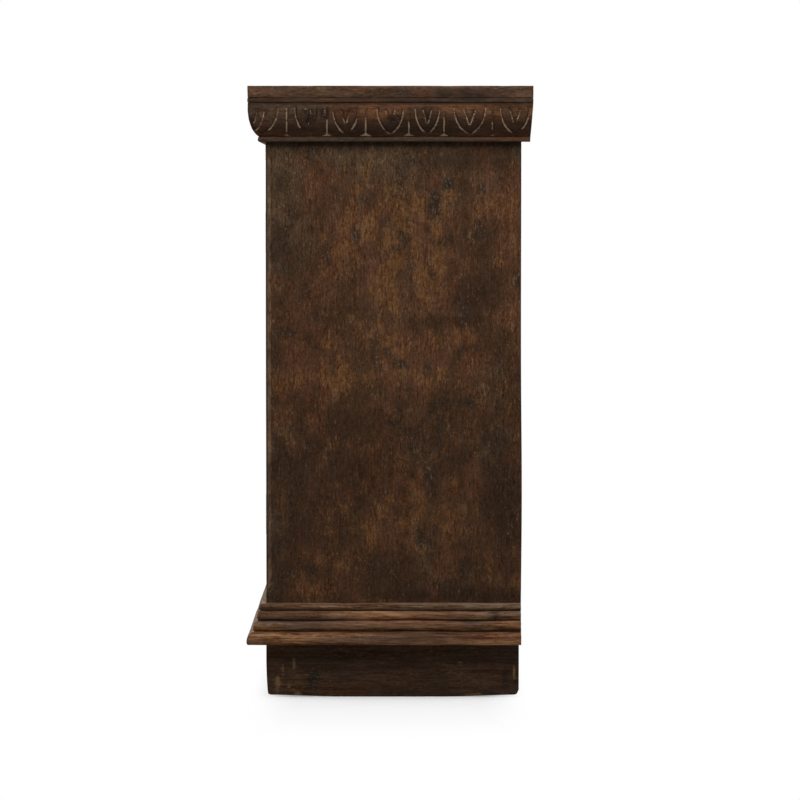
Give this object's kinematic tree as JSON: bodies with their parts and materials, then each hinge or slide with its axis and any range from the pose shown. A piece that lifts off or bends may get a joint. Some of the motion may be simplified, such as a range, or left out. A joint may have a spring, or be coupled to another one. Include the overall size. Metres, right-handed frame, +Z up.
{
  "type": "carved side cabinet",
  "caption": "Dark hardwood side cabinet on a plinth, with reeded base moulding, plank ends, a pair of panelled doors, shelf, boarded back and a leaf-carved cornice under the top.",
  "frame": {"origin": "on the floor, under the middle of the cabinet", "axes": "+X along the cabinet's width towards the pictured end, +Y from the doors to the back, +Z up"},
  "size_m": [0.9566, 0.424, 0.907],
  "materials": {
    "dark_plank": "dark stained hardwood plank, worn and waxed",
    "worn_moulding": "stained hardwood moulding with worn edges",
    "plinth_wood": "near-black stained hardwood",
    "top_wood": "dark stained hardwood, rubbed at the edges",
    "inside_wood": "bare oiled wood",
    "dark_iron": "blackened iron"
  },
  "bodies": {
    "carcase": {"plinth_front": "plinth_wood", "plinth_right": "plinth_wood", "plinth_left": "plinth_wood", "plinth_back": "plinth_wood", "plinth_block_front_right": "inside_wood", "plinth_block_front_left": "inside_wood", "plinth_block_back_right": "inside_wood", "plinth_block_back_left": "inside_wood", "base_moulding_front": "worn_moulding", "base_moulding_right": "worn_moulding", "base_moulding_left": "worn_moulding", "end_panel_right": "dark_plank", "end_panel_left": "dark_plank", "floor_board": "inside_wood", "shelf": "inside_wood", "shelf_bearer_right": "inside_wood", "shelf_bearer_left": "inside_wood", "back_board_1": "inside_wood", "back_board_2": "inside_wood", "back_board_3": "inside_wood", "back_board_4": "inside_wood", "back_rail": "inside_wood", "frame_stile_right": "dark_plank", "frame_stile_left": "dark_plank", "frame_head_rail": "dark_plank", "frame_foot_rail": "dark_plank", "top_board": "top_wood", "top_fillet_front": "top_wood", "top_fillet_right": "top_wood", "top_fillet_left": "top_wood", "cornice_front": "worn_moulding", "cornice_right": "worn_moulding", "cornice_left": "worn_moulding", "door_right_lower_hinge_frame_leaf": "dark_iron", "door_right_upper_hinge_frame_leaf": "dark_iron", "door_left_lower_hinge_frame_leaf": "dark_iron", "door_left_upper_hinge_frame_leaf": "dark_iron"},
    "right_door": {"door_right_panel": "dark_plank", "door_right_head_rail": "dark_plank", "door_right_foot_rail": "dark_plank", "door_right_hinge_stile": "dark_plank", "door_right_meeting_stile": "dark_plank", "door_right_lower_hinge_door_leaf": "dark_iron", "door_right_upper_hinge_door_leaf": "dark_iron"},
    "left_door": {"door_left_panel": "dark_plank", "door_left_head_rail": "dark_plank", "door_left_foot_rail": "dark_plank", "door_left_hinge_stile": "dark_plank", "door_left_meeting_stile": "dark_plank", "door_left_lower_hinge_door_leaf": "dark_iron", "door_left_upper_hinge_door_leaf": "dark_iron", "fixed_knob": "dark_iron", "bolt_plate": "dark_iron"},
    "latch": {"latch_knob": "dark_iron", "latch_tongue": "dark_iron"},
    "bolt": {"bolt_rod": "dark_iron"}
  },
  "joints": [
    {"name": "right_door_swing", "type": "hinge", "parent": "carcase", "child": "right_door", "pos_m": [0.3887, -0.18265, 0.47945], "axis": [0, 0, 1], "range_deg": [0, 160]},
    {"name": "left_door_swing", "type": "hinge", "parent": "carcase", "child": "left_door", "pos_m": [-0.3887, -0.18265, 0.47945], "axis": [0, 0, -1], "range_deg": [0, 160]},
    {"name": "latch_turn", "type": "hinge", "parent": "right_door", "child": "latch", "pos_m": [0.031, -0.18165, 0.47945], "axis": [0, 1, 0], "range_deg": [0, 90]},
    {"name": "bolt_slide", "type": "slide", "parent": "left_door", "child": "bolt", "axis": [0, 0, 1], "range_m": [0, 0.014]}
  ]
}
